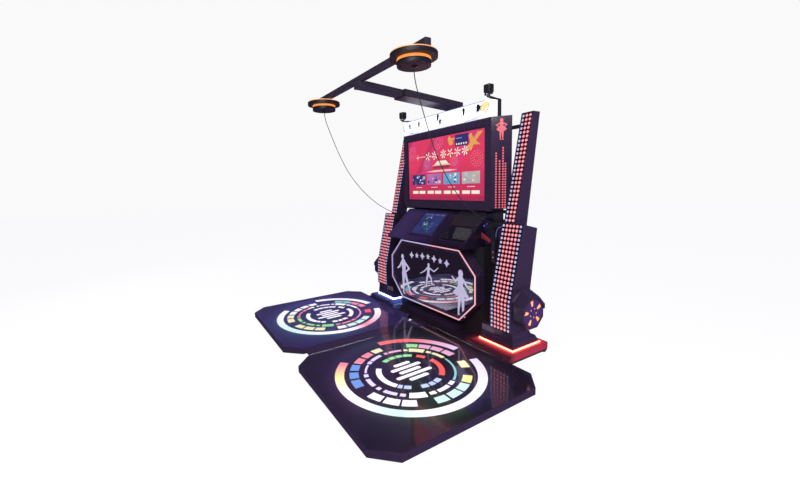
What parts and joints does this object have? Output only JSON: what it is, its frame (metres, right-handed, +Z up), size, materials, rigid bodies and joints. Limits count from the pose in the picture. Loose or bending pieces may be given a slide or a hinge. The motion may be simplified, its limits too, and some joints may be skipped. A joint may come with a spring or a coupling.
{
  "type": "dance arcade machine",
  "caption": "Two-player dance rhythm machine with glass light platforms, mirrored cabinet door, touch desk, large screen, leaning lamp columns and an overhead boom with tether discs",
  "frame": {"origin": "centre of the footprint, on the floor", "axes": "+X to the player's right, +Y from the platforms towards the cabinet, +Z up"},
  "size_m": [3.05, 2.0554, 2.525],
  "materials": {
    "black_gloss": "high gloss purple-black lacquer",
    "dark_board": "black laminate on board",
    "black_steel": "satin black powder coat",
    "frame_alloy": "mill finish",
    "rubber_black": "matt",
    "black_plastic": "fine texture",
    "gloss_black_plastic": "polished",
    "floor_glass": "toughened, clear",
    "window_white": "lit diffuser",
    "led_pink": "lamp domes, pink and white",
    "neon_white": "lit tube, lilac to pink",
    "strip_light": "lit diffuser",
    "mirror": "smoked mirror with printed figures",
    "screen": "display under glass",
    "desk_purple": "gloss",
    "acrylic": "clear acrylic with a pale blue edge",
    "grey_paint": "satin",
    "lamp_violet": "gloss",
    "grille_grey": "speckled cloth",
    "chrome": "polished",
    "sensor_body": "satin",
    "cord_blue": "smooth jacket",
    "cord_black": "smooth jacket",
    "computer_case": "plain"
  },
  "bodies": {
    "machine": {"platform_frame_left": "frame_alloy", "platform_frame_right": "frame_alloy", "platform_rims": "black_gloss", "light_boards": "black_plastic", "ring_windows_left": "window_white", "ring_windows_right": "window_white", "ring_masks": "gloss_black_plastic", "floor_glass": "floor_glass", "step_sensors": "black_plastic", "levelling_feet": "rubber_black", "bridge_plate": "black_gloss", "base_frame": "black_steel", "base_deck": "black_gloss", "foot_covers": "black_gloss", "light_strips": "strip_light", "pillars_lower": "black_gloss", "pillars_upper": "black_gloss", "led_panels": "led_pink", "lamp_housings": "black_gloss", "lamp_faces": "lamp_violet", "cabinet_shell": "dark_board", "tower_shell": "black_steel", "door_casing": "black_gloss", "toe_kick": "black_gloss", "console_desk": "desk_purple", "side_panels": "black_gloss", "ladder_struts": "black_steel", "tv_housing": "gloss_black_plastic", "tv_panel": "screen", "touch_monitor": "gloss_black_plastic", "speaker_unit": "grille_grey", "header_screen": "acrylic", "roof_posts": "black_steel", "boom_sleeve": "grey_paint", "boom_arm": "grey_paint", "crossbar": "grey_paint", "disc_canopies": "black_gloss", "disc_cups": "black_gloss", "tether_left": "cord_blue", "tether_right": "cord_blue", "link_boxes": "black_plastic", "link_lead_left": "cord_black", "link_lead_right": "cord_black", "game_computer": "computer_case", "power_supply": "computer_case", "fan_frame": "black_plastic", "power_inlet": "black_plastic"},
    "front_door": {"front_door_frame": "black_gloss", "front_door_panel": "mirror", "front_door_neon": "neon_white"},
    "front_lock": {"front_lock": "chrome"},
    "rear_door": {"rear_door": "black_steel"},
    "rear_lock": {"rear_lock": "chrome"},
    "tether_reel_left": {"tether_reel_left": "black_plastic"},
    "tether_reel_right": {"tether_reel_right": "black_plastic"},
    "tracker_yoke_left": {"tracker_yoke_left": "black_steel"},
    "tracker_yoke_right": {"tracker_yoke_right": "black_steel"},
    "tracker_body_left": {"tracker_body_left": "sensor_body"},
    "tracker_body_right": {"tracker_body_right": "sensor_body"},
    "fan_rotor": {"fan_rotor": "black_plastic"}
  },
  "joints": [
    {"name": "front_door_swing", "type": "hinge", "parent": "machine", "child": "front_door", "pos_m": [-0.721, 0.54031, 0.539], "axis": [0, 0, -1], "range_deg": [0, 100]},
    {"name": "front_lock_turn", "type": "hinge", "parent": "front_door", "child": "front_lock", "pos_m": [0.676, 0.54031, 0.54], "axis": [0, 1, 0], "range_deg": [0, 90]},
    {"name": "rear_door_swing", "type": "hinge", "parent": "machine", "child": "rear_door", "pos_m": [-0.306, 1.01931, 0.48], "axis": [0, 0, 1], "range_deg": [0, 110]},
    {"name": "rear_lock_turn", "type": "hinge", "parent": "rear_door", "child": "rear_lock", "pos_m": [0.24, 1.01231, 0.48], "axis": [0, 1, 0], "range_deg": [0, 90]},
    {"name": "tether_reel_left_spin", "type": "hinge", "parent": "machine", "child": "tether_reel_left", "pos_m": [-0.8365, -0.23669, 2.408], "axis": [0, 0, 1], "continuous": true},
    {"name": "tracker_left_pan", "type": "hinge", "parent": "machine", "child": "tracker_yoke_left", "pos_m": [-0.676, 0.71831, 2.312], "axis": [0, 0, 1], "range_deg": [-60, 60]},
    {"name": "tracker_left_tilt", "type": "hinge", "parent": "tracker_yoke_left", "child": "tracker_body_left", "pos_m": [-0.676, 0.71831, 2.372], "axis": [1, 0, 0], "range_deg": [-40, 40]},
    {"name": "tether_reel_right_spin", "type": "hinge", "parent": "machine", "child": "tether_reel_right", "pos_m": [0.8365, -0.23669, 2.408], "axis": [0, 0, 1], "continuous": true},
    {"name": "tracker_right_pan", "type": "hinge", "parent": "machine", "child": "tracker_yoke_right", "pos_m": [0.676, 0.71831, 2.312], "axis": [0, 0, 1], "range_deg": [-60, 60]},
    {"name": "tracker_right_tilt", "type": "hinge", "parent": "tracker_yoke_right", "child": "tracker_body_right", "pos_m": [0.676, 0.71831, 2.372], "axis": [1, 0, 0], "range_deg": [-40, 40]},
    {"name": "fan_spin", "type": "hinge", "parent": "machine", "child": "fan_rotor", "pos_m": [0, 0.99581, 1.7], "axis": [0, 1, 0], "continuous": true}
  ]
}
